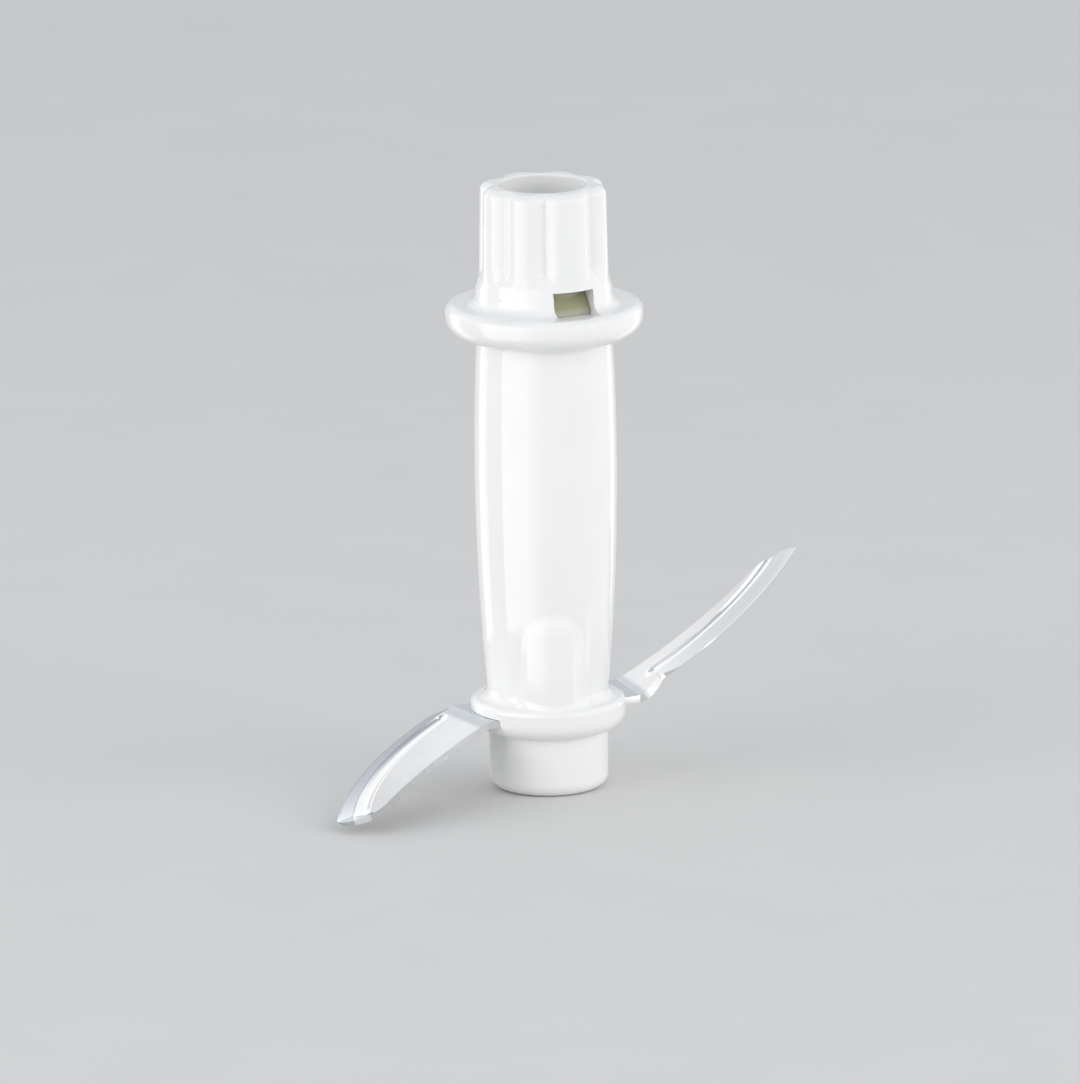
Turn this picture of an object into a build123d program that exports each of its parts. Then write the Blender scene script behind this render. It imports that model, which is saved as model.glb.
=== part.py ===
from build123d import *
from collections import namedtuple
from math import atan2, cos, degrees, radians, sin, tan
import os

# Chopping knife of a small food processor: a moulded hub in two pieces, snapped together
# round two stamped blades. It stands on its foot, turns on the bowl's spindle and is driven
# by the lobed head at its top. Millimetres, Z up the spindle axis from the end of the foot,
# the front boss towards -Y. Seen from above it turns clockwise.

# Outside of the hub
hub_height = 100.4
foot_radius = 9.7
foot_edge = 2.1
collar_level = 13.7
collar_radius = 12.6
collar_rise = 1.4
collar_drop = 3.7
collar_top_round = 0.9
collar_under_round = 2.6
collar_wall = 2.0
barrel_wall = 1.6
barrel_belly_swell = 2.0
barrel_belly_level = 53.0
barrel_neck_swell = 1.25
flange_radius = 16.1
flange_height = 5.3
flange_under_round = 3.3
flange_top_round = 1.3
collar_blend = 1.5
flange_under_blend = 0.8
flange_top_blend = 1.7

# Lobed drive head above the flange
head_height = 19.6
head_base_radius = 11.1
head_base_height = 2.5
head_flare_height = 1.8
head_flare_radius = 10.6
head_ramp_height = 6.5
head_root_radius = 10.7
head_draft = 1.1
flute_runout = 4.4
window_lobe_radius = 4.4
side_lobe_count = 3
side_lobe_step = 42.2
side_lobe_radius = 3.6
runout_lobe_radius = 9.6
valley_round = 0.5
crown_round = 1.3
mouth_round = 0.3
socket_radius = 7.1
socket_depth = 15.6

# Arched bosses, front and back, round the keyways
boss_radius = 6.0
boss_wall = 2.3
boss_dome_level = 27.4
boss_blend = 2.4

# Latch windows under the two broad lobes
window_angle = -67.5
window_width = 7.3
window_reach = 13.6
window_floor_depth = 0.6
window_height = 4.3

# Core inside the sleeve, on which the blades are threaded
core_wall = 1.7
core_web = 3.0
spindle_depth = 60.0
shoulder_drop = 1.7
key_width = 4.0
key_depth = 1.6
key_height = 15.9
barb_width = 6.9
barb_reach = 1.4
barb_lip = 0.8
barb_slope_height = 3.0
latch_slit = 0.8
latch_length = 16.0
lead_in = 0.6

# Bearing bush in the foot
bush_radius = 5.2
bush_bore_radius = 4.05
bush_length = 15.0
bush_recess = 0.15
bush_edge = 0.4

# Clearances between the pieces
slide_clearance = 0.1
clamp_clearance = 0.05

# Blades: stainless sheet, one eye each, bent just outside the collar
blade_thickness = 1.2
eye_rim = 1.1
tab_half_width = 7.0
bend_radius = 1.0
edge_level = 0.4
edge_land = 0.12
back_bevel_width = 1.0
groove_depth = 0.45
tip_overrun = 6.0
false_edge_share = 0.8
false_edge_slope = 0.5

# Each blade's outline lies in its wing: first number out from the bend, second across it,
# with the cutting side negative. Heading and slope in degrees.
Blade = namedtuple(
    "Blade",
    "name layer heading slope bend_gap root_lead root_trail heel edge_start edge_radius tip "
    "waist shoulder bevel_width grind_start groove_width groove_start",
)
lower = Blade(
    name="lower_blade",
    layer=0,
    heading=205.0,
    slope=-19.1,
    bend_gap=0.6,
    root_lead=-8.3,
    root_trail=4.2,
    heel=(1.5, -9.3),
    edge_start=(3.2, -10.2),
    edge_radius=48.0,
    tip=(32.4, 8.1),
    waist=(8.0, 5.9),
    shoulder=(25.2, 12.8),
    bevel_width=2.9,
    grind_start=-2.5,
    groove_width=2.9,
    groove_start=1.0,
)
upper = Blade(
    name="upper_blade",
    layer=1,
    heading=15.0,
    slope=35.2,
    bend_gap=2.0,
    root_lead=-3.75,
    root_trail=7.6,
    heel=(5.0, -1.6),
    edge_start=(8.5, -3.2),
    edge_radius=40.0,
    tip=(35.7, 4.0),
    waist=(13.0, 5.1),
    shoulder=(27.5, 6.5),
    bevel_width=2.7,
    grind_start=-4.7,
    groove_width=2.4,
    groove_start=-4.8,
)
blades = (lower, upper)

# Levels and radii that follow from the sizes above
collar_top = collar_level + collar_rise
collar_bottom = collar_level - collar_drop
flange_top = hub_height - head_height
flange_bottom = flange_top - flange_height
flange_level = flange_bottom + flange_under_round
base_top = flange_top + head_base_height
flare_top = base_top + head_flare_height
ramp_top = flare_top + head_ramp_height
flute_bottom = base_top + flute_runout
flute_core_radius = head_root_radius - side_lobe_radius
core_top = hub_height - socket_depth
blade_seat = collar_level - shoulder_drop
clamp_level = blade_seat + 2 * blade_thickness + clamp_clearance
eye_radius = collar_radius - collar_wall
key_reach = eye_radius - eye_rim
core_radius = key_reach - key_depth
sleeve_bore_radius = core_radius + slide_clearance
barrel_root_radius = sleeve_bore_radius + barrel_wall
barrel_belly_radius = barrel_root_radius + barrel_belly_swell
barrel_neck_radius = barrel_root_radius + barrel_neck_swell
boss_offset = key_reach + boss_wall - boss_radius
eye_room_radius = eye_radius + slide_clearance
window_floor = flange_top - window_floor_depth
key_top = blade_seat + key_height

os.makedirs("parts", exist_ok=True)


def disc(radius, bottom, top, under_round, top_round):
    """Round disc on the hub's axis with rounded edges."""
    with BuildPart() as plate:
        with BuildSketch(Plane.XY.offset(bottom)):
            Circle(radius)
        extrude(amount=top - bottom)
        fillet(plate.edges().group_by(Axis.Z)[0], under_round)
        fillet(plate.edges().group_by(Axis.Z)[-1], top_round)
    return plate.part


def lobed_outline(outline, crest_radius, broad_radius, slim_radius):
    """Two broad lobes and the slim ones between them, with rounded valleys, in the open sketch."""
    with PolarLocations(crest_radius - broad_radius, 2, start_angle=window_angle):
        Circle(broad_radius)
    core = crest_radius - slim_radius
    spread = (side_lobe_count - 1) * side_lobe_step
    for side in (90, 270):
        first = window_angle + side - spread / 2
        with PolarLocations(core, side_lobe_count, first, spread, endpoint=True):
            Circle(slim_radius)
    Circle(core)
    fillet(outline.vertices(), valley_round)


def tab_plane(blade, level):
    """Level plane whose x runs along the blade's heading."""
    heading = radians(blade.heading)
    return Plane(origin=(0, 0, level), x_dir=(cos(heading), sin(heading), 0), z_dir=(0, 0, 1))


def bend_distance(blade):
    """Distance from the axis to a blade's bend, just outside the collar."""
    return collar_radius + blade.bend_gap


def tab_outline(blade, grow):
    """Flat root of a blade from the axis out to its bend, drawn in the open sketch."""
    lead = blade.root_lead - grow
    trail = blade.root_trail + grow
    half = tab_half_width + grow
    reach = bend_distance(blade)
    Polygon((0, -half), (reach, lead), (reach, trail), (0, half), align=None)


def seat_of(blade):
    """Level of the underside of a blade's eye in the stack."""
    return blade_seat + blade.layer * blade_thickness


# Room that the blades' roots take in the collar, open below so that they go in from there
with BuildPart() as root_room:
    for blade in blades:
        with BuildSketch(tab_plane(blade, collar_bottom)):
            tab_outline(blade, slide_clearance)
        extrude(amount=seat_of(blade) + blade_thickness + clamp_clearance - collar_bottom)

# Sleeve: the white outer moulding, from the collar up to the drive head
with BuildPart() as hub_sleeve:
    with BuildSketch(Plane.XZ):
        with BuildLine():
            side = ThreePointArc(
                (barrel_root_radius, collar_level),
                (barrel_belly_radius, barrel_belly_level),
                (barrel_neck_radius, flange_level),
            )
            Polyline(side @ 1, (0, flange_level), (0, collar_level), side @ 0)
        make_face()
        with BuildLine():
            Polyline(
                (0, flange_level),
                (head_base_radius, flange_level),
                (head_base_radius, base_top),
                (head_flare_radius, flare_top),
                (flute_core_radius, ramp_top),
                (0, ramp_top),
                close=True,
            )
        make_face()
    revolve(axis=Axis.Z)
    add(disc(flange_radius, flange_bottom, flange_top, flange_under_round, flange_top_round))
    flange_joins = hub_sleeve.edges(Select.NEW).sort_by(Axis.Z)
    fillet(flange_joins[0], flange_under_blend)
    fillet(flange_joins[-1], flange_top_blend)

    # Arched bosses, blended into the barrel, and the collar that both stand on
    with BuildSketch(Plane.XY.offset(collar_level)):
        with PolarLocations(boss_offset, 2, start_angle=-90):
            Circle(boss_radius)
    extrude(amount=boss_dome_level - collar_level)
    with PolarLocations(boss_offset, 2, start_angle=-90):
        with Locations((0, 0, boss_dome_level)):
            Sphere(boss_radius)
    boss_top = boss_dome_level + boss_radius
    boss_edges = hub_sleeve.edges().filter_by(GeomType.BSPLINE)
    fillet(boss_edges.filter_by_position(Axis.Z, collar_level, boss_top), boss_blend)
    add(disc(collar_radius, collar_bottom, collar_top, collar_under_round, collar_top_round))
    fillet(hub_sleeve.edges(Select.NEW), collar_blend)

    # Drive head: flutes come out of the ramp above the flange and run up to the crown
    draft_loss = (hub_height - flute_bottom) * tan(radians(head_draft))
    for level, crest, broad, slim in (
        (base_top, head_root_radius, runout_lobe_radius, runout_lobe_radius),
        (flute_bottom, head_root_radius, window_lobe_radius, side_lobe_radius),
        (hub_height, head_root_radius - draft_loss, window_lobe_radius, side_lobe_radius),
    ):
        with BuildSketch(Plane.XY.offset(level)) as lobes:
            lobed_outline(lobes, crest, broad, slim)
    loft(ruled=True)
    fillet(hub_sleeve.faces().sort_by(Axis.Z)[-1].edges(), crown_round)

    # Hollow: room for the blades' eyes, the core's bore and the drive socket with its round mouth
    with BuildSketch(Plane.XZ):
        with BuildLine():
            mouth = TangentArc(
                (socket_radius, hub_height - mouth_round),
                (socket_radius + mouth_round, hub_height),
                tangent=(0, 1),
            )
            Polyline(
                mouth @ 1,
                (0, hub_height),
                (0, collar_bottom),
                (eye_room_radius, collar_bottom),
                (eye_room_radius, clamp_level),
                (sleeve_bore_radius, clamp_level),
                (sleeve_bore_radius, core_top + slide_clearance),
                (socket_radius, core_top + slide_clearance),
                mouth @ 0,
            )
        make_face()
    revolve(axis=Axis.Z, mode=Mode.SUBTRACT)

    # Keyways inside the bosses, slots for the blades' roots, latch windows
    with BuildSketch(Plane.XY.offset(clamp_level)):
        Rectangle(key_width + 2 * slide_clearance, 2 * (key_reach + slide_clearance))
    extrude(amount=key_top + slide_clearance - clamp_level, mode=Mode.SUBTRACT)
    add(root_room.part, mode=Mode.SUBTRACT)
    with BuildSketch(Plane.XY.offset(window_floor)):
        with PolarLocations(window_reach / 2, 2, start_angle=window_angle):
            Rectangle(window_reach, window_width)
    extrude(amount=window_height, mode=Mode.SUBTRACT)

hub_sleeve.part.label = "hub_sleeve"
export_step(hub_sleeve.part, "parts/hub_sleeve.step")

# Tongues of the core that close the collar's slots below the blades' roots
with BuildPart() as tongues:
    for blade in blades:
        with BuildSketch(tab_plane(blade, collar_bottom)):
            tab_outline(blade, -slide_clearance)
        extrude(amount=seat_of(blade) - collar_bottom)
    add(
        disc(collar_radius, collar_bottom, collar_top, collar_under_round, collar_top_round),
        mode=Mode.INTERSECT,
    )

# Core: foot, shoulder under the blades, keys, spindle bore and the latch at its top
with BuildPart() as spindle_core:
    add(tongues.part)
    with BuildSketch(Plane.XZ) as foot_section:
        with BuildLine():
            Polyline(
                (0, 0),
                (foot_radius, 0),
                (foot_radius, collar_bottom),
                (eye_radius, collar_bottom),
                (eye_radius, blade_seat),
                (0, blade_seat),
                close=True,
            )
        make_face()
        fillet(foot_section.vertices().sort_by_distance((foot_radius, 0))[0], foot_edge)
    revolve(axis=Axis.Z)
    with BuildSketch(Plane.XY.offset(blade_seat)):
        Circle(eye_room_radius)
    extrude(amount=collar_top - blade_seat, mode=Mode.SUBTRACT)
    with BuildSketch(Plane.XY.offset(blade_seat)):
        Circle(core_radius)
    extrude(amount=core_top - blade_seat)
    chamfer(spindle_core.edges().group_by(Axis.Z)[-1], lead_in)
    with BuildSketch(Plane.XY.offset(blade_seat)):
        Rectangle(key_width, 2 * key_reach)
    extrude(amount=key_top - blade_seat)

    # Spindle bore from below, seat of the bush at its mouth, latch hollow from above
    with BuildSketch(Plane.XZ):
        with BuildLine():
            Polyline(
                (0, 0),
                (bush_radius, 0),
                (bush_radius, spindle_depth),
                (0, spindle_depth),
                close=True,
            )
        make_face()
        with BuildLine():
            Polyline(
                (0, spindle_depth + core_web),
                (core_radius - core_wall, spindle_depth + core_web),
                (core_radius - core_wall, core_top),
                (0, core_top),
                close=True,
            )
        make_face()
    revolve(axis=Axis.Z, mode=Mode.SUBTRACT)

    # Two barbs that snap out over the window floors, each on a tongue between two slits
    for turn in (0, 180):
        angle = radians(window_angle + turn)
        outward = Vector(cos(angle), sin(angle), 0)
        barb_floor = window_floor + clamp_clearance
        barb_plane = Plane(
            origin=(0, 0, barb_floor), x_dir=outward, z_dir=outward.cross(Vector(0, 0, 1))
        )
        with BuildSketch(barb_plane):
            Polygon(
                (core_radius - core_wall, 0),
                (core_radius + barb_reach, 0),
                (core_radius + barb_reach, barb_lip),
                (core_radius - core_wall / 2, barb_lip + barb_slope_height),
                (core_radius - core_wall, barb_lip + barb_slope_height),
                align=None,
            )
        extrude(amount=barb_width / 2, both=True)
    with BuildSketch(Plane.XY.offset(core_top - latch_length)):
        with PolarLocations(core_radius, 2, start_angle=window_angle):
            with GridLocations(0, barb_width + latch_slit, 1, 2):
                Rectangle(core_radius, latch_slit)
    extrude(amount=latch_length, mode=Mode.SUBTRACT)

spindle_core.part.label = "spindle_core"
export_step(spindle_core.part, "parts/spindle_core.step")

# Bush: plain bearing for the bowl's spindle, pressed into the foot
with BuildPart() as spindle_bush:
    with BuildSketch(Plane.XY.offset(bush_recess)):
        Circle(bush_radius)
        Circle(bush_bore_radius, mode=Mode.SUBTRACT)
    extrude(amount=bush_length)
    chamfer(spindle_bush.edges().filter_by(GeomType.CIRCLE), bush_edge)

spindle_bush.part.label = "spindle_bush"
export_step(spindle_bush.part, "parts/spindle_bush.step")


def make_blade(blade):
    """Blade stamped from sheet: an eye on the core, a bend and a grooved, ground wing."""
    seat = seat_of(blade)
    heading = radians(blade.heading)
    bend = radians(abs(blade.slope))
    rise = 1 if blade.slope > 0 else -1
    up = Vector(0, 0, 1)
    out = Vector(cos(heading), sin(heading), 0)
    across = up.cross(out)
    run = out * cos(bend) + up * (rise * sin(bend))
    normal = run.cross(across)
    under_radius = bend_radius + (blade_thickness if rise > 0 else 0)
    bend_foot = out * bend_distance(blade) + up * seat
    pivot = bend_foot + up * (rise * under_radius)
    wing_plane = Plane(origin=pivot - normal * (rise * under_radius), x_dir=run, z_dir=normal)

    # Wing outline: cutting edge on one arc, back on a curve that turns into the nose
    with BuildSketch(wing_plane) as outline:
        with BuildLine():
            edge = RadiusArc(blade.edge_start, blade.tip, -blade.edge_radius)
            heel = Spline(
                (0, blade.root_lead), blade.heel, blade.edge_start, tangents=((1, 0), edge % 0)
            )
            back = Spline((0, blade.root_trail), blade.waist, blade.shoulder)
            nose = TangentArc(blade.shoulder, blade.tip, tangent=back % 1)
            Line(heel @ 0, back @ 0)
        make_face()

    def turned_plane(centre, angle):
        """Plane through a wing normal at centre, with x out at an angle and y along the normal."""
        radial = run * cos(angle) + across * sin(angle)
        origin = wing_plane.from_local_coords(centre)
        return Plane(origin=origin, x_dir=radial, z_dir=radial.cross(normal))

    def angle_about(centre, point):
        """Angle of a point of the wing seen from a centre in it, in radians."""
        return atan2(point[1] - centre.Y, point[0] - centre.X)

    # Groove pressed down beside the bevel, round at its root end, following the cutting edge
    edge_centre = edge.arc_center
    edge_from = angle_about(edge_centre, blade.edge_start)
    edge_to = angle_about(edge_centre, blade.tip)
    groove_from = edge_from + blade.groove_start / blade.edge_radius
    groove_plane = turned_plane(edge_centre, groove_from)
    groove_outer = blade.edge_radius - blade.bevel_width
    groove_inner = groove_outer - blade.groove_width
    groove_middle = groove_outer - blade.groove_width / 2
    groove_curve = (groove_depth**2 + (blade.groove_width / 2) ** 2) / (2 * groove_depth)
    edge_axis = Axis(groove_plane.origin, normal)

    with BuildPart() as groove:
        with BuildSketch(groove_plane):
            with BuildLine():
                ThreePointArc((groove_inner, 0), (groove_middle, -groove_depth), (groove_outer, 0))
                Line((groove_outer, 0), (groove_inner, 0))
            make_face()
        revolve(axis=edge_axis, revolution_arc=degrees(edge_to - groove_from))
        with BuildSketch(groove_plane):
            with BuildLine():
                bed = RadiusArc((groove_middle, -groove_depth), (groove_outer, 0), -groove_curve)
                Polyline(bed @ 1, (groove_middle, 0), bed @ 0)
            make_face()
        revolve(axis=Axis(groove_plane.from_local_coords((groove_middle, 0, 0)), normal))

    # Wing: sheet with the groove, trimmed to the outline, then ground along edge and nose
    corner = Vector(*blade.shoulder)
    nose_centre = corner + (nose.arc_center - corner) * false_edge_share
    nose_radius = nose.radius * false_edge_share
    nose_from = angle_about(nose_centre, blade.tip)
    nose_to = angle_about(nose_centre, blade.shoulder)
    nose_plane = turned_plane(nose_centre, nose_from)
    grind_from = edge_from + blade.grind_start / blade.edge_radius
    edge_top = edge_level + edge_land / 2
    edge_bottom = edge_level - edge_land / 2
    bevel_fall = (blade_thickness - edge_top) / blade.bevel_width
    back_rise = edge_bottom / back_bevel_width
    over = 2 * groove_depth
    beyond = blade.bevel_width
    grind_radius = blade.edge_radius + beyond

    with BuildPart() as wing:
        extrude(outline.sketch, amount=blade_thickness)
        add(groove.part.moved(Location(normal * blade_thickness)), mode=Mode.SUBTRACT)
        add(groove.part)
        extrude(outline.sketch, amount=2 * blade_thickness, both=True, mode=Mode.INTERSECT)
        with BuildSketch(turned_plane(edge_centre, grind_from)):
            Polygon(
                (groove_outer, blade_thickness),
                (grind_radius, edge_top - beyond * bevel_fall),
                (grind_radius, blade_thickness + over),
                (groove_outer, blade_thickness + over),
                align=None,
            )
            Polygon(
                (blade.edge_radius - back_bevel_width, 0),
                (grind_radius, edge_bottom + beyond * back_rise),
                (grind_radius, -over),
                (blade.edge_radius - back_bevel_width, -over),
                align=None,
            )
        grind_turn = degrees(edge_to - grind_from) + tip_overrun
        revolve(axis=edge_axis, revolution_arc=grind_turn, mode=Mode.SUBTRACT)
        with BuildSketch(nose_plane):
            Polygon(
                (nose_radius - over / false_edge_slope, blade_thickness + over),
                (nose_radius + beyond, blade_thickness - beyond * false_edge_slope),
                (nose_radius + beyond, blade_thickness + over),
                align=None,
            )
        nose_axis = Axis(nose_plane.origin, normal)
        revolve(axis=nose_axis, revolution_arc=degrees(nose_to - nose_from), mode=Mode.SUBTRACT)

    # Whole blade: eye and root lying flat, the bend, and the wing
    with BuildPart() as body:
        with BuildSketch(tab_plane(blade, seat)):
            Circle(eye_radius)
            tab_outline(blade, 0)
        extrude(amount=blade_thickness)
        with BuildSketch(Plane(origin=bend_foot, x_dir=across, z_dir=out)):
            with Locations(((blade.root_lead + blade.root_trail) / 2, blade_thickness / 2)):
                Rectangle(blade.root_trail - blade.root_lead, blade_thickness)
        revolve(axis=Axis(pivot, across * -rise), revolution_arc=abs(blade.slope))
        add(wing.part)
        with BuildSketch(Plane.XY.offset(seat)):
            Circle(core_radius + slide_clearance)
            Rectangle(key_width + 2 * slide_clearance, 2 * (key_reach + slide_clearance))
        extrude(amount=blade_thickness, mode=Mode.SUBTRACT)

    body.part.label = blade.name
    return body.part


for blade in blades:
    export_step(make_blade(blade), f"parts/{blade.name}.step")
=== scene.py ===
import bpy
import math
from mathutils import Matrix, Vector

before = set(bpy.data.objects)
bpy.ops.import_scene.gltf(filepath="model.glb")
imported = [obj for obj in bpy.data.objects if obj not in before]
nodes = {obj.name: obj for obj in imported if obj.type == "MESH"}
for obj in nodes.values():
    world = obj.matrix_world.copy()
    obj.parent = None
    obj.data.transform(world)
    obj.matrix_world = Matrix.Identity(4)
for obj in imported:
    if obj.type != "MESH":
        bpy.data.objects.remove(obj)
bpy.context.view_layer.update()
mm = 0.001


# Core: the inner white moulding on which everything is threaded. Glossy polypropylene out of a
# polished mould, so its skin has faint orange peel and slight clouding where the melt ran. Its
# latch end, seen in the windows, is painted shade in a dull olive grey, made paler by painted
# light at the window floor.
core_clean = (0.87, 0.872, 0.87)
core_clouded = (0.845, 0.848, 0.85)
# Painted shade: the latch end in the windows is darkened to olive grey. Painted light makes it
# paler at the window floor, below the levels that follow.
latch_painted_shade = (0.345, 0.345, 0.22)
latch_floor_painted_light = (0.5, 0.5, 0.41)
latch_from = 64 * mm
latch_full = 74 * mm
floor_light_full_below = 80.4 * mm
floor_light_gone_by = 81.6 * mm
clouds_per_metre = 55
rubs_per_metre = 380
peel_per_metre = 620
fine_peel_per_metre = 2400
fine_peel_share = 0.12
peel_strength = 0.25
plastic_ior = 1.5


def new_group(name, inputs, outputs):
    """Empty shader group with named float, vector or colour sockets."""
    group = bpy.data.node_groups.new(name, "ShaderNodeTree")
    kinds = {"f": "NodeSocketFloat", "v": "NodeSocketVector", "c": "NodeSocketColor"}
    for label, kind, value in inputs:
        socket = group.interface.new_socket(label, in_out="INPUT", socket_type=kinds[kind])
        socket.default_value = value
    for label, kind in outputs:
        group.interface.new_socket(label, in_out="OUTPUT", socket_type=kinds[kind])
    entry = group.nodes.new("NodeGroupInput")
    leave = group.nodes.new("NodeGroupOutput")
    return group, entry.outputs, leave.inputs


def noise(tree, vector, scale, detail, roughness=0.55):
    """Noise texture on a vector."""
    node = tree.nodes.new("ShaderNodeTexNoise")
    node.inputs["Scale"].default_value = scale
    node.inputs["Detail"].default_value = detail
    node.inputs["Roughness"].default_value = roughness
    tree.links.new(vector, node.inputs["Vector"])
    return node.outputs["Fac"]


def maths(tree, operation, first, second=None, third=None):
    """Math node on sockets or plain numbers."""
    node = tree.nodes.new("ShaderNodeMath")
    node.operation = operation
    for slot, value in zip(node.inputs, (first, second, third)):
        if value is None:
            continue
        if isinstance(value, (int, float)):
            slot.default_value = value
        else:
            tree.links.new(value, slot)
    return node.outputs["Value"]


def spread(tree, value, low, high, to_low, to_high, smooth=True):
    """Map Range node from a socket, clamped."""
    node = tree.nodes.new("ShaderNodeMapRange")
    node.interpolation_type = "SMOOTHSTEP" if smooth else "LINEAR"
    tree.links.new(value, node.inputs["Value"])
    labels = ("From Min", "From Max", "To Min", "To Max")
    for label, number in zip(labels, (low, high, to_low, to_high)):
        if isinstance(number, (int, float)):
            node.inputs[label].default_value = number
        else:
            tree.links.new(number, node.inputs[label])
    return node.outputs["Result"]


def blend_colours(tree, share, first, second):
    """Mix of two colours by a socket."""
    node = tree.nodes.new("ShaderNodeMix")
    node.data_type = "RGBA"
    tree.links.new(share, node.inputs["Factor"])
    for slot, colour in ((node.inputs[6], first), (node.inputs[7], second)):
        if isinstance(colour, tuple):
            slot.default_value = (*colour, 1.0)
        else:
            tree.links.new(colour, slot)
    return node.outputs[2]


def object_place(tree):
    """Object coordinates."""
    return tree.nodes.new("ShaderNodeTexCoord").outputs["Object"]


def axes_of(tree, vector):
    """X, Y and Z of a vector socket."""
    node = tree.nodes.new("ShaderNodeSeparateXYZ")
    tree.links.new(vector, node.inputs["Vector"])
    return node.outputs["X"], node.outputs["Y"], node.outputs["Z"]


moulded_skin, given, result = new_group(
    "moulded_skin",
    [
        ("Vector", "v", (0, 0, 0)),
        ("Clean", "c", (0.9, 0.9, 0.9, 1)),
        ("Clouded", "c", (0.8, 0.8, 0.8, 1)),
        ("Gloss", "f", 0.1),
        ("Dull", "f", 0.2),
    ],
    [("Color", "c"), ("Roughness", "f"), ("Height", "f")],
)
clouds = noise(moulded_skin, given["Vector"], clouds_per_metre, 4.0)
cloud_share = spread(moulded_skin, clouds, 0.35, 0.75, 0.0, 1.0)
tint = blend_colours(moulded_skin, cloud_share, given["Clean"], given["Clouded"])
moulded_skin.links.new(tint, result["Color"])
rubbing = noise(moulded_skin, given["Vector"], rubs_per_metre, 5.0, 0.65)
rubbed = spread(moulded_skin, rubbing, 0.4, 0.72, given["Gloss"], given["Dull"])
moulded_skin.links.new(rubbed, result["Roughness"])
peel = noise(moulded_skin, given["Vector"], peel_per_metre, 2.0, 0.4)
fine_peel = noise(moulded_skin, given["Vector"], fine_peel_per_metre, 1.0, 0.4)
peel_height = maths(moulded_skin, "MULTIPLY_ADD", fine_peel, fine_peel_share, peel)
moulded_skin.links.new(peel_height, result["Height"])


def moulding(name, clean, clouded, gloss, dull, peel_depth):
    """Glossy moulded plastic; its skin and peel nodes can be found by name."""
    material = bpy.data.materials.new(name)
    material.use_nodes = True
    tree = material.node_tree
    shader = tree.nodes["Principled BSDF"]
    shader.inputs["IOR"].default_value = plastic_ior
    skin = tree.nodes.new("ShaderNodeGroup")
    skin.name = "skin"
    skin.node_tree = moulded_skin
    skin.inputs["Clean"].default_value = (*clean, 1)
    skin.inputs["Clouded"].default_value = (*clouded, 1)
    skin.inputs["Gloss"].default_value = gloss
    skin.inputs["Dull"].default_value = dull
    bump = tree.nodes.new("ShaderNodeBump")
    bump.name = "peel"
    bump.inputs["Strength"].default_value = peel_strength
    bump.inputs["Distance"].default_value = peel_depth
    tree.links.new(object_place(tree), skin.inputs["Vector"])
    tree.links.new(skin.outputs["Color"], shader.inputs["Base Color"])
    tree.links.new(skin.outputs["Roughness"], shader.inputs["Roughness"])
    tree.links.new(skin.outputs["Height"], bump.inputs["Height"])
    tree.links.new(bump.outputs["Normal"], shader.inputs["Normal"])
    return material


def dress(node, material):
    """Gives a CAD node its material."""
    nodes[node].data.materials.clear()
    nodes[node].data.materials.append(material)


core_white = moulding(
    "core_white", core_clean, core_clouded, gloss=0.12, dull=0.2, peel_depth=0.02 * mm
)
core_tree = core_white.node_tree
core_level = axes_of(core_tree, object_place(core_tree))[2]
# Painted light and shade on the latch end: paler at the window floor, darker olive grey above it.
floor_light_share = spread(core_tree, core_level, floor_light_full_below, floor_light_gone_by, 1.0, 0.0)
latch_light_and_shade = blend_colours(core_tree, floor_light_share, latch_painted_shade, latch_floor_painted_light)
latch_shade_share = spread(core_tree, core_level, latch_from, latch_full, 0.0, 1.0)
core_skin = core_tree.nodes["skin"].outputs["Color"]
core_with_painted_shade = blend_colours(core_tree, latch_shade_share, core_skin, latch_light_and_shade)
core_tree.links.new(core_with_painted_shade, core_tree.nodes["Principled BSDF"].inputs["Base Color"])
dress("spindle_core", core_white)

# Bush: plain bearing of natural acetal, creamy and duller than the mouldings.
# It is turned, so the tool leaves fine rings on it, and pressed into the foot.
bush_clean = (0.72, 0.7, 0.64)
bush_clouded = (0.68, 0.66, 0.6)
rings_per_metre = 6000
ring_depth = 0.01 * mm
ring_strength = 0.3


def reach(tree, x, y):
    """Distance from the zero of two axes."""
    return maths(tree, "SQRT", maths(tree, "MULTIPLY_ADD", x, x, maths(tree, "MULTIPLY", y, y)))


bush_acetal = moulding(
    "bush_acetal", bush_clean, bush_clouded, gloss=0.22, dull=0.36, peel_depth=0.02 * mm
)
bush_tree = bush_acetal.node_tree
bush_x, bush_y = axes_of(bush_tree, object_place(bush_tree))[:2]
ring_count = maths(bush_tree, "MULTIPLY", reach(bush_tree, bush_x, bush_y), rings_per_metre)
ring_line = bush_tree.nodes.new("ShaderNodeCombineXYZ")
bush_tree.links.new(ring_count, ring_line.inputs["X"])
rings = noise(bush_tree, ring_line.outputs["Vector"], 1.0, 2.0)
ring_bump = bush_tree.nodes.new("ShaderNodeBump")
ring_bump.inputs["Strength"].default_value = ring_strength
ring_bump.inputs["Distance"].default_value = ring_depth
bush_tree.links.new(rings, ring_bump.inputs["Height"])
bush_tree.links.new(bush_tree.nodes["peel"].outputs["Normal"], ring_bump.inputs["Normal"])
bush_shader = bush_tree.nodes["Principled BSDF"]
bush_tree.links.new(ring_bump.outputs["Normal"], bush_shader.inputs["Normal"])
dress("spindle_bush", bush_acetal)
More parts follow.
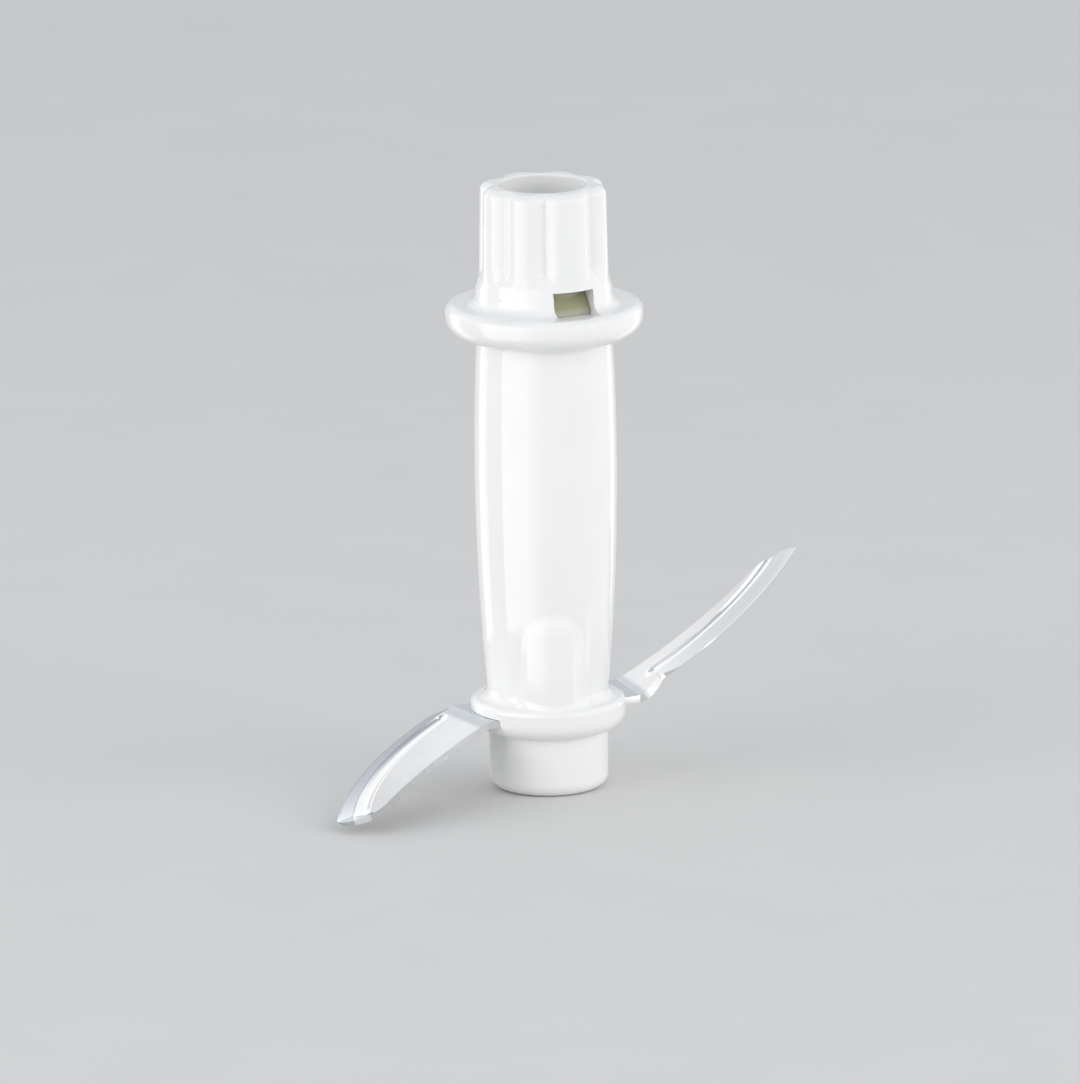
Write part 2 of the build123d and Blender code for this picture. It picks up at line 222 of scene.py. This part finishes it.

# Blades: stamped from 1.2 mm stainless sheet and polished along their length, with the cutting
# edges ground across, and threaded on the core. Painted reflection brightens the grooves, and
# painted shade darkens the lower blade's bevel and the tops of the roots by the collar. Sizes in
# the wings are in millimetres.
steel_light = (0.82, 0.825, 0.83)
steel_dark = (0.63, 0.637, 0.645)
# Painted reflection: the grooves are drawn brighter than the flats.
groove_painted_reflection = (0.95, 0.95, 0.95)
# Painted shade: the tops of the roots by the collar are drawn darker.
root_painted_shade = (0.56, 0.6, 0.64)
polish_per_metre = (60, 2600, 2600)
grind_per_metre = 9000
grind_drift_per_metre = 90
smudges_per_metre = 130
smudge_share = 0.3
# The flats are drawn darker from 6 mm out towards the tip.
tip_darkening = 0.7
darker_from = 6
darker_to = 28
# Painted shade on the roots reaches this far out from the hub, in millimetres.
root_shade_from = 1.4
root_shade_to = 2.4
bevel_blur = 0.05
groove_blur_in = 0.1
groove_blur_out = 0.2
hone_width = 0.3
hone_blur = 0.1
polished_roughness = 0.1
scratched_roughness = 0.18
bevel_roughness = 0.1
hone_roughness = -0.12
scratch_strength = 0.12
scratch_depth = 0.004 * mm


def edge_circle(start, tip, radius):
    """Centre of the cutting edge's arc in the wing, on the side of the blade's back."""
    start = Vector(start)
    chord = Vector(tip) - start
    square = Vector((-chord.y, chord.x)).normalized()
    return start + chord / 2 + square * math.sqrt(radius**2 - chord.length_squared / 4)


def blade_steel(name, foot, heading, slope, edge_start, tip, edge_radius, bevel_width, bevel_painted_shade,
                groove_width, groove_start):
    """Polished sheet with a groove brightened by painted reflection and a ground bevel in a
    painted-shade tone, laid out in the wing's axes.
    """
    material = bpy.data.materials.new(name)
    material.use_nodes = True
    tree = material.node_tree
    shader = tree.nodes["Principled BSDF"]
    shader.inputs["Metallic"].default_value = 1.0

    swing = Matrix.Rotation(math.radians(heading), 3, "Z")
    tilt = Matrix.Rotation(math.radians(-slope), 3, "Y")
    wing = tree.nodes.new("ShaderNodeMapping")
    wing.vector_type = "TEXTURE"
    wing.inputs["Location"].default_value = Vector(foot) * mm
    wing.inputs["Rotation"].default_value = (swing @ tilt).to_euler()
    tree.links.new(object_place(tree), wing.inputs["Vector"])
    wing_x, wing_y = axes_of(tree, wing.outputs["Vector"])[:2]
    centre = edge_circle(edge_start, tip, edge_radius)
    along = maths(tree, "SUBTRACT", wing_x, centre.x * mm)
    across = maths(tree, "SUBTRACT", wing_y, centre.y * mm)
    radius = reach(tree, along, across)
    angle = maths(tree, "ARCTAN2", across, along)

    # Where the bevel, its honed rim, the groove and the root lie
    bevel_from = edge_radius - bevel_width
    bevel = spread(
        tree, radius, (bevel_from - bevel_blur) * mm, (bevel_from + bevel_blur) * mm, 0.0, 1.0
    )
    hone_from = edge_radius - hone_width
    honed = spread(tree, radius, hone_from * mm, (hone_from + hone_blur) * mm, 0.0, 1.0)
    groove_from = bevel_from - groove_width
    groove_side = spread(
        tree,
        radius,
        (groove_from - groove_blur_in) * mm,
        (groove_from + groove_blur_out) * mm,
        0.0,
        1.0,
    )
    edge_angle = math.atan2(edge_start[1] - centre.y, edge_start[0] - centre.x)
    groove_angle = edge_angle + groove_start / edge_radius
    groove_end = groove_width / 2 / edge_radius
    groove_run = spread(tree, angle, groove_angle - groove_end, groove_angle, 0.0, 1.0)
    groove_reflection_share = maths(tree, "MULTIPLY", groove_side, groove_run)
    # Painted shade on the roots: faces turned up, near the hub, are darkened.
    facing = tree.nodes.new("ShaderNodeNewGeometry")
    upward = spread(tree, axes_of(tree, facing.outputs["Normal"])[2], 0.5, 0.7, 0.0, 1.0)
    near_hub = spread(tree, wing_x, root_shade_from * mm, root_shade_to * mm, 1.0, 0.0)
    root_shade_share = maths(tree, "MULTIPLY", upward, near_hub)

    # Colour: smudged flats that get darker towards the tip, then the groove's painted reflection,
    # and the painted shade of bevel and root
    smudge = noise(tree, wing.outputs["Vector"], smudges_per_metre, 4.0)
    smudged = spread(tree, smudge, 0.3, 0.8, 0.0, 1.0)
    towards_tip = spread(tree, wing_x, darker_from * mm, darker_to * mm, 0.0, tip_darkening)
    smudge_and_tip_darkening = maths(tree, "MULTIPLY_ADD", smudged, smudge_share, towards_tip)
    colour = blend_colours(tree, smudge_and_tip_darkening, steel_light, steel_dark)
    # Painted reflection brightens the groove; painted shade darkens the bevel and the tops of the
    # roots.
    colour = blend_colours(tree, groove_reflection_share, colour, groove_painted_reflection)
    colour = blend_colours(tree, bevel, colour, bevel_painted_shade)
    colour = blend_colours(tree, root_shade_share, colour, root_painted_shade)
    tree.links.new(colour, shader.inputs["Base Color"])

    # Scratches: along the wing from polishing, square to the edge from grinding
    polish_axes = tree.nodes.new("ShaderNodeMapping")
    polish_axes.inputs["Scale"].default_value = polish_per_metre
    tree.links.new(wing.outputs["Vector"], polish_axes.inputs["Vector"])
    polish = noise(tree, polish_axes.outputs["Vector"], 1.0, 4.0, 0.6)
    grind_axes = tree.nodes.new("ShaderNodeCombineXYZ")
    grind_count = maths(tree, "MULTIPLY", angle, edge_radius * mm * grind_per_metre)
    grind_drift = maths(tree, "MULTIPLY", radius, grind_drift_per_metre)
    tree.links.new(grind_count, grind_axes.inputs["X"])
    tree.links.new(grind_drift, grind_axes.inputs["Y"])
    grind = noise(tree, grind_axes.outputs["Vector"], 1.0, 3.0, 0.6)
    scratches = tree.nodes.new("ShaderNodeMix")
    tree.links.new(bevel, scratches.inputs[0])
    tree.links.new(polish, scratches.inputs[2])
    tree.links.new(grind, scratches.inputs[3])
    scratch = scratches.outputs[0]
    worn = spread(tree, scratch, 0.3, 0.7, polished_roughness, scratched_roughness, smooth=False)
    ground = maths(tree, "MULTIPLY_ADD", bevel, bevel_roughness, worn)
    rough = maths(tree, "MULTIPLY_ADD", honed, hone_roughness, ground)
    tree.links.new(rough, shader.inputs["Roughness"])
    bump = tree.nodes.new("ShaderNodeBump")
    bump.inputs["Strength"].default_value = scratch_strength
    bump.inputs["Distance"].default_value = scratch_depth
    tree.links.new(scratch, bump.inputs["Height"])
    tree.links.new(bump.outputs["Normal"], shader.inputs["Normal"])
    return material


# The lower blade's bevel tone is painted shade; the upper blade's equals its flat.
lower_steel = blade_steel(
    "lower_blade_steel",
    foot=(-12.0, -5.6, 12.0),
    heading=205.0,
    slope=-19.1,
    edge_start=(3.2, -10.2),
    tip=(32.4, 8.1),
    edge_radius=48.0,
    bevel_width=2.9,
    bevel_painted_shade=(0.59, 0.62, 0.67),
    groove_width=2.9,
    groove_start=1.0,
)
upper_steel = blade_steel(
    "upper_blade_steel",
    foot=(14.1, 3.8, 13.2),
    heading=15.0,
    slope=35.2,
    edge_start=(8.5, -3.2),
    tip=(35.7, 4.0),
    edge_radius=40.0,
    bevel_width=2.7,
    bevel_painted_shade=(0.82, 0.825, 0.83),
    groove_width=2.4,
    groove_start=-4.8,
)
dress("lower_blade", lower_steel)
dress("upper_blade", upper_steel)

# Sleeve: the outer white moulding, pushed down over the core and clamping the blades' eyes.
# High-gloss plastic: collar, barrel with its two bosses, flange and lobed drive head in one.
sleeve_clean = (0.86, 0.862, 0.86)
sleeve_clouded = (0.835, 0.838, 0.84)
sleeve_white = moulding(
    "sleeve_white", sleeve_clean, sleeve_clouded, gloss=0.07, dull=0.13, peel_depth=0.015 * mm
)
dress("hub_sleeve", sleeve_white)

# Floor: a wide pale disc under the knife, painted matt, with a faint unevenness in its tone.
# It is part of the studio and not of the knife.
floor_radius = 4.0
floor_dark = (0.68, 0.678, 0.67)
floor_light = (0.71, 0.708, 0.7)
floor_grain_per_metre = 40
bpy.ops.mesh.primitive_circle_add(vertices=96, radius=floor_radius, fill_type="NGON")
floor = bpy.context.object
floor.name = "floor"
floor_paint = bpy.data.materials.new("floor_paint")
floor_paint.use_nodes = True
floor_tree = floor_paint.node_tree
floor_shader = floor_tree.nodes["Principled BSDF"]
floor_grain = noise(floor_tree, object_place(floor_tree), floor_grain_per_metre, 4.0)
floor_tone = blend_colours(floor_tree, floor_grain, floor_dark, floor_light)
floor_tree.links.new(floor_tone, floor_shader.inputs["Base Color"])
floor_shader.inputs["Roughness"].default_value = 0.9
floor_shader.inputs["Specular IOR Level"].default_value = 0.0
floor.data.materials.append(floor_paint)

# Lights: two soft boxes, and a sky that is strongest just above the horizon. Upright cards round
# the knife, a low strip and a card overhead show as bright bands in its gloss and light nothing.
middle = Vector((0, 0, 0.05))
box_size = (0.9, 0.6)
box_power = 5.1
box_colour = (1.0, 0.98, 0.95)
card_distance = 85 * mm
card_height = 130 * mm
card_steps = 24
sky_strength = 1.05
sky_bands = (
    (0.0, (0.5, 0.51, 0.53, 1)),
    (0.2, (0.58, 0.59, 0.61, 1)),
    (0.33, (1.0, 1.0, 1.0, 1)),
    (0.72, (0.92, 0.93, 0.95, 1)),
    (0.84, (0.45, 0.48, 0.53, 1)),
    (0.95, (0.3, 0.33, 0.38, 1)),
)


def soft_box(name, place):
    """Rectangular studio light, aimed at the knife, that the camera doesn't see."""
    lamp = bpy.data.lights.new(name, "AREA")
    lamp.shape = "RECTANGLE"
    lamp.size, lamp.size_y = box_size
    lamp.energy = box_power
    lamp.color = box_colour
    box = bpy.data.objects.new(name, lamp)
    box.location = place
    box.rotation_euler = (middle - Vector(place)).to_track_quat("-Z", "Y").to_euler()
    box.visible_camera = False
    bpy.context.scene.collection.objects.link(box)


def card(name, start, end, bright, dim=None, fade_from=None,
         low=(card_distance, 0.0), high=(card_distance, card_height)):
    """Arc round the knife that shows in reflections only: angles in degrees about Z, then the
    distance and level of its lower and upper edge. With dim, it fades to that at its end."""
    corners = []
    for step in range(card_steps + 1):
        angle = math.radians(start + (end - start) * step / card_steps)
        for distance, level in (low, high):
            corners.append((distance * math.cos(angle), distance * math.sin(angle), level))
    sides = [(2 * i, 2 * i + 2, 2 * i + 3, 2 * i + 1) for i in range(card_steps)]
    mesh = bpy.data.meshes.new(name)
    mesh.from_pydata(corners, [], sides)
    sheet = bpy.data.objects.new(name, mesh)
    bpy.context.scene.collection.objects.link(sheet)
    glow = bpy.data.materials.new(name)
    glow.use_nodes = True
    tree = glow.node_tree
    shader = tree.nodes["Principled BSDF"]
    shader.inputs["Base Color"].default_value = (0, 0, 0, 1)
    shader.inputs["Specular IOR Level"].default_value = 0.0
    shader.inputs["Emission Strength"].default_value = 1.0
    if dim is None:
        shader.inputs["Emission Color"].default_value = (bright, bright, bright, 1)
    else:
        x, y = axes_of(tree, object_place(tree))[:2]
        turn = maths(tree, "ARCTAN2", y, x)
        fade = spread(tree, turn, math.radians(fade_from), math.radians(end), bright, dim)
        tree.links.new(fade, shader.inputs["Emission Color"])
    mesh.materials.append(glow)
    sheet.visible_camera = False
    sheet.visible_diffuse = False
    sheet.visible_shadow = False


soft_box("left_box", (-1.03, -0.48, 0.3))
soft_box("right_box", (1.0, -0.53, 0.3))
card("key_card", -166, -95, 3.0, dim=1.1, fade_from=-129)
card("grey_card", -95, 22, 1.0, dim=1.1, fade_from=-60)
card("left_card", 136, 160, 1.8)
card("right_card", 25, 43, 1.6)
card("right_strip", -28, -20, 2.0, low=(52 * mm, 4 * mm), high=(52 * mm, 17 * mm))
card("top_card", -180, 180, 1.1, low=(0.0, 450 * mm), high=(130 * mm, 450 * mm))

studio = bpy.data.worlds.new("studio")
studio.use_nodes = True
bpy.context.scene.world = studio
sky = studio.node_tree
sky_place = sky.nodes.new("ShaderNodeTexCoord")
sky_height = axes_of(sky, sky_place.outputs["Generated"])[2]
sky_ramp = sky.nodes.new("ShaderNodeValToRGB")
sky.links.new(sky_height, sky_ramp.inputs["Fac"])
stops = sky_ramp.color_ramp.elements
stops[0].position, stops[0].color = sky_bands[0]
stops[1].position, stops[1].color = sky_bands[-1]
for position, colour in sky_bands[1:-1]:
    stops.new(position).color = colour
backdrop = sky.nodes["Background"]
sky.links.new(sky_ramp.outputs["Color"], backdrop.inputs["Color"])
backdrop.inputs["Strength"].default_value = sky_strength
bpy.context.scene.view_settings.view_transform = "Standard"

# Camera: the photograph's viewpoint, a long lens nearly three metres away and fourteen degrees up,
# with the small lean of the picture.
azimuth = math.radians(-5.0)
elevation = math.radians(13.7)
distance = 2.8
aim_left = 1.06 * mm
aim_down = 9.07 * mm
lean = math.radians(-0.604)
level_step = math.cos(elevation)
away = Vector((
    math.sin(azimuth) * level_step,
    -math.cos(azimuth) * level_step,
    math.sin(elevation),
))
side = Vector((math.cos(azimuth), math.sin(azimuth), 0))
target = middle - side * aim_left - away.cross(side) * aim_down
lens = bpy.data.cameras.new("camera")
lens.lens = 572.4
lens.sensor_width = 36.0
lens.clip_start = 0.05
lens.clip_end = 20.0
camera = bpy.data.objects.new("camera", lens)
bpy.context.scene.collection.objects.link(camera)
camera.location = middle + away * distance
gaze = (target - camera.location).to_track_quat("-Z", "Y").to_matrix()
camera.rotation_euler = (gaze @ Matrix.Rotation(lean, 3, "Z")).to_euler()
bpy.context.scene.camera = camera
